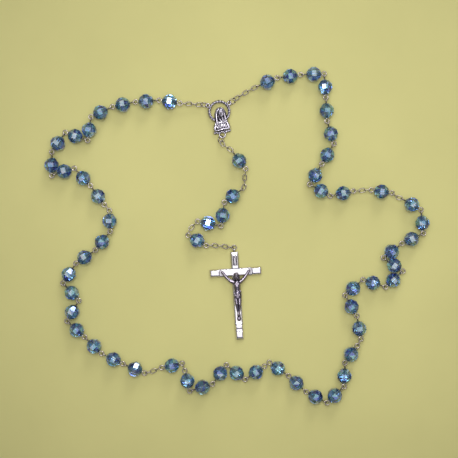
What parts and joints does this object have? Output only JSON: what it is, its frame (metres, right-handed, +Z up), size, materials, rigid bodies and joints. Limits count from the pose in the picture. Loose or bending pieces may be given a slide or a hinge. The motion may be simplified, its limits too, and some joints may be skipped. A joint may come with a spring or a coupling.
{
  "type": "rosary",
  "caption": "Rosary of faceted iridescent glass beads on silver-tone wire links, with an openwork figure medal and a crucifix, laid out flat as a loop.",
  "frame": {"origin": "centre of the laid-out rosary's bounding box, on the table that it lies on", "axes": "+X across the loop to the right, +Y along the layout towards the medal's top, +Z up from the table"},
  "size_m": [0.1692, 0.1488, 0.0063],
  "materials": {
    "bead_glass": "faceted, iridescent coating",
    "wire_silver": "polished wire",
    "medal_silver": "cast, dark in its recesses",
    "cross_silver": "cast, polished edges",
    "figure_silver": "cast, dark in its recesses"
  },
  "bodies": {
    "medal": {"medal": "medal_silver"},
    "chain_right": {"chain_right": "wire_silver"},
    "decade_1a": {"decade_1a_beads": "bead_glass", "decade_1a_pins": "wire_silver"},
    "decade_1b": {"decade_1b_beads": "bead_glass", "decade_1b_pins": "wire_silver"},
    "decade_1c": {"decade_1c_beads": "bead_glass", "decade_1c_pins": "wire_silver"},
    "our_father_1": {"our_father_1_bead": "bead_glass", "our_father_1_pin": "wire_silver", "our_father_1_chain": "wire_silver"},
    "decade_2a": {"decade_2a_beads": "bead_glass", "decade_2a_pins": "wire_silver"},
    "decade_2b": {"decade_2b_beads": "bead_glass", "decade_2b_pins": "wire_silver"},
    "decade_2c": {"decade_2c_beads": "bead_glass", "decade_2c_pins": "wire_silver"},
    "our_father_2": {"our_father_2_bead": "bead_glass", "our_father_2_pin": "wire_silver", "our_father_2_chain": "wire_silver"},
    "decade_3a": {"decade_3a_beads": "bead_glass", "decade_3a_pins": "wire_silver"},
    "chain_left": {"chain_left": "wire_silver"},
    "decade_5c": {"decade_5c_beads": "bead_glass", "decade_5c_pins": "wire_silver"},
    "decade_5b": {"decade_5b_beads": "bead_glass", "decade_5b_pins": "wire_silver"},
    "decade_5a": {"decade_5a_beads": "bead_glass", "decade_5a_pins": "wire_silver"},
    "our_father_4": {"our_father_4_bead": "bead_glass", "our_father_4_pin": "wire_silver", "our_father_4_chain": "wire_silver"},
    "decade_4c": {"decade_4c_beads": "bead_glass", "decade_4c_pins": "wire_silver"},
    "decade_4b": {"decade_4b_beads": "bead_glass", "decade_4b_pins": "wire_silver"},
    "decade_4a": {"decade_4a_beads": "bead_glass", "decade_4a_pins": "wire_silver"},
    "our_father_3": {"our_father_3_bead": "bead_glass", "our_father_3_pin": "wire_silver", "our_father_3_chain": "wire_silver"},
    "decade_3b": {"decade_3b_beads": "bead_glass", "decade_3b_pins": "wire_silver"},
    "chain_a": {"chain_a": "wire_silver"},
    "our_father_5": {"our_father_5_bead": "bead_glass", "our_father_5_pin": "wire_silver"},
    "chain_b": {"chain_b": "wire_silver"},
    "hail_mary_1": {"hail_mary_1_bead": "bead_glass", "hail_mary_1_pin": "wire_silver"},
    "hail_mary_2": {"hail_mary_2_bead": "bead_glass", "hail_mary_2_pin": "wire_silver"},
    "hail_mary_3": {"hail_mary_3_bead": "bead_glass", "hail_mary_3_pin": "wire_silver"},
    "our_father_6": {"our_father_6_bead": "bead_glass", "our_father_6_pin": "wire_silver", "our_father_6_chain": "wire_silver"},
    "chain_d": {"chain_d": "wire_silver"},
    "crucifix": {"cross": "cross_silver", "title_plaque": "cross_silver", "corpus": "figure_silver"}
  },
  "joints": [
    {"name": "chain_right_swing", "type": "hinge", "parent": "medal", "child": "chain_right", "pos_m": [-0.00358, 0.05882, 0.00155], "axis": [0, 0, 1], "range_deg": [0, 30]},
    {"name": "decade_1a_swing", "type": "hinge", "parent": "chain_right", "child": "decade_1a", "pos_m": [0.00803, 0.06566, 0.00305], "axis": [0, 0, 1], "range_deg": [0, 30]},
    {"name": "decade_1b_lift", "type": "hinge", "parent": "decade_1a", "child": "decade_1b", "pos_m": [0.03829, 0.07055, 0.00315], "axis": [-0.9976, -0.0698, 0], "range_deg": [0, 58]},
    {"name": "decade_1c_lift", "type": "hinge", "parent": "decade_1b", "child": "decade_1c", "pos_m": [0.04204, 0.03998, 0.00315], "axis": [-0.8572, 0.515, 0], "range_deg": [0, 58]},
    {"name": "our_father_1_swing", "type": "hinge", "parent": "decade_1c", "child": "our_father_1", "pos_m": [0.051, 0.01993, 0.00315], "axis": [0, 0, 1], "range_deg": [0, 30]},
    {"name": "decade_2a_swing", "type": "hinge", "parent": "our_father_1", "child": "decade_2a", "pos_m": [0.07182, 0.01686, 0.00308], "axis": [0, 0, 1], "range_deg": [0, 30]},
    {"name": "decade_2b_lift", "type": "hinge", "parent": "decade_2a", "child": "decade_2b", "pos_m": [0.07167, -0.00362, 0.00315], "axis": [-0.6157, 0.788, 0], "range_deg": [0, 58]},
    {"name": "decade_2c_lift", "type": "hinge", "parent": "decade_2b", "child": "decade_2c", "pos_m": [0.06422, -0.02192, 0.00315], "axis": [0.309, 0.9511, 0], "range_deg": [0, 58]},
    {"name": "our_father_2_lift", "type": "hinge", "parent": "decade_2c", "child": "our_father_2", "pos_m": [0.05394, -0.04591, 0.00315], "axis": [-0.8829, 0.4695, 0], "range_deg": [0, 58]},
    {"name": "decade_3a_lift", "type": "hinge", "parent": "our_father_2", "child": "decade_3a", "pos_m": [0.04729, -0.05649, 0.00315], "axis": [-0.9994, 0.0349, 0], "range_deg": [0, 58]},
    {"name": "chain_left_swing", "type": "hinge", "parent": "medal", "child": "chain_left", "pos_m": [-0.01297, 0.05773, 0.00155], "axis": [0, 0, 1], "range_deg": [-30, 0]},
    {"name": "decade_5c_swing", "type": "hinge", "parent": "chain_left", "child": "decade_5c", "pos_m": [-0.02492, 0.05854, 0.00304], "axis": [0, 0, 1], "range_deg": [-30, 0]},
    {"name": "decade_5b_lift", "type": "hinge", "parent": "decade_5c", "child": "decade_5b", "pos_m": [-0.06446, 0.05164, 0.00315], "axis": [-0.9903, 0.1392, 0], "range_deg": [0, 58]},
    {"name": "decade_5a_lift", "type": "hinge", "parent": "decade_5b", "child": "decade_5a", "pos_m": [-0.08157, 0.0362, 0.00315], "axis": [-1, 0, 0], "range_deg": [0, 58]},
    {"name": "our_father_4_lift", "type": "hinge", "parent": "decade_5a", "child": "our_father_4", "pos_m": [-0.06403, 0.02159, 0.00315], "axis": [-0.809, -0.5878, 0], "range_deg": [0, 58]},
    {"name": "decade_4c_swing", "type": "hinge", "parent": "our_father_4", "child": "decade_4c", "pos_m": [-0.05627, 0.01174, 0.00315], "axis": [0, 0, 1], "range_deg": [-30, 0]},
    {"name": "decade_4b_lift", "type": "hinge", "parent": "decade_4c", "child": "decade_4b", "pos_m": [-0.07599, -0.02122, 0.00315], "axis": [-0.7431, -0.6691, 0], "range_deg": [0, 58]},
    {"name": "decade_4a_lift", "type": "hinge", "parent": "decade_4b", "child": "decade_4a", "pos_m": [-0.06645, -0.04487, 0.00315], "axis": [-0.6947, -0.7193, 0], "range_deg": [0, 58]},
    {"name": "our_father_3_lift", "type": "hinge", "parent": "decade_4a", "child": "our_father_3", "pos_m": [-0.0398, -0.05989, 0.00315], "axis": [0.1736, -0.9848, 0], "range_deg": [0, 58]},
    {"name": "decade_3b_swing", "type": "hinge", "parent": "our_father_3", "child": "decade_3b", "pos_m": [-0.02318, -0.0587, 0.00315], "axis": [0, 0, 1], "range_deg": [-30, 0]},
    {"name": "chain_a_lift", "type": "hinge", "parent": "medal", "child": "chain_a", "pos_m": [-0.00699, 0.04368, 0.00155], "axis": [-0.9397, 0.342, 0], "range_deg": [0, 40]},
    {"name": "our_father_5_lift", "type": "hinge", "parent": "chain_a", "child": "our_father_5", "pos_m": [-0.00212, 0.03727, 0.00315], "axis": [-0.788, -0.6157, 0], "range_deg": [0, 40]},
    {"name": "chain_b_lift", "type": "hinge", "parent": "our_father_5", "child": "chain_b", "pos_m": [0.00361, 0.02883, 0.00315], "axis": [-0.9903, 0.1392, 0], "range_deg": [0, 40]},
    {"name": "hail_mary_1_lift", "type": "hinge", "parent": "chain_b", "child": "hail_mary_1", "pos_m": [0.00195, 0.02061, 0.00313], "axis": [-0.5878, 0.809, 0], "range_deg": [0, 40]},
    {"name": "hail_mary_2_lift", "type": "hinge", "parent": "hail_mary_1", "child": "hail_mary_2", "pos_m": [-0.00588, 0.01407, 0.00315], "axis": [-0.9903, 0.1392, 0], "range_deg": [0, 40]},
    {"name": "hail_mary_3_swing", "type": "hinge", "parent": "hail_mary_2", "child": "hail_mary_3", "pos_m": [-0.0072, 0.00471, 0.00315], "axis": [0, 0, 1], "range_deg": [0, 20]},
    {"name": "our_father_6_swing", "type": "hinge", "parent": "hail_mary_3", "child": "our_father_6", "pos_m": [-0.01741, 0.0067, 0.00315], "axis": [0, 0, 1], "range_deg": [0, 15]},
    {"name": "chain_d_lift", "type": "hinge", "parent": "our_father_6", "child": "chain_d", "pos_m": [-0.0127, -0.00396, 0.00315], "axis": [0.0523, -0.9986, 0], "range_deg": [0, 40]},
    {"name": "crucifix_lift", "type": "hinge", "parent": "chain_d", "child": "crucifix", "pos_m": [-0.00134, -0.00589, 0.001], "axis": [-0.9979, -0.0645, 0], "range_deg": [0, 60]}
  ]
}
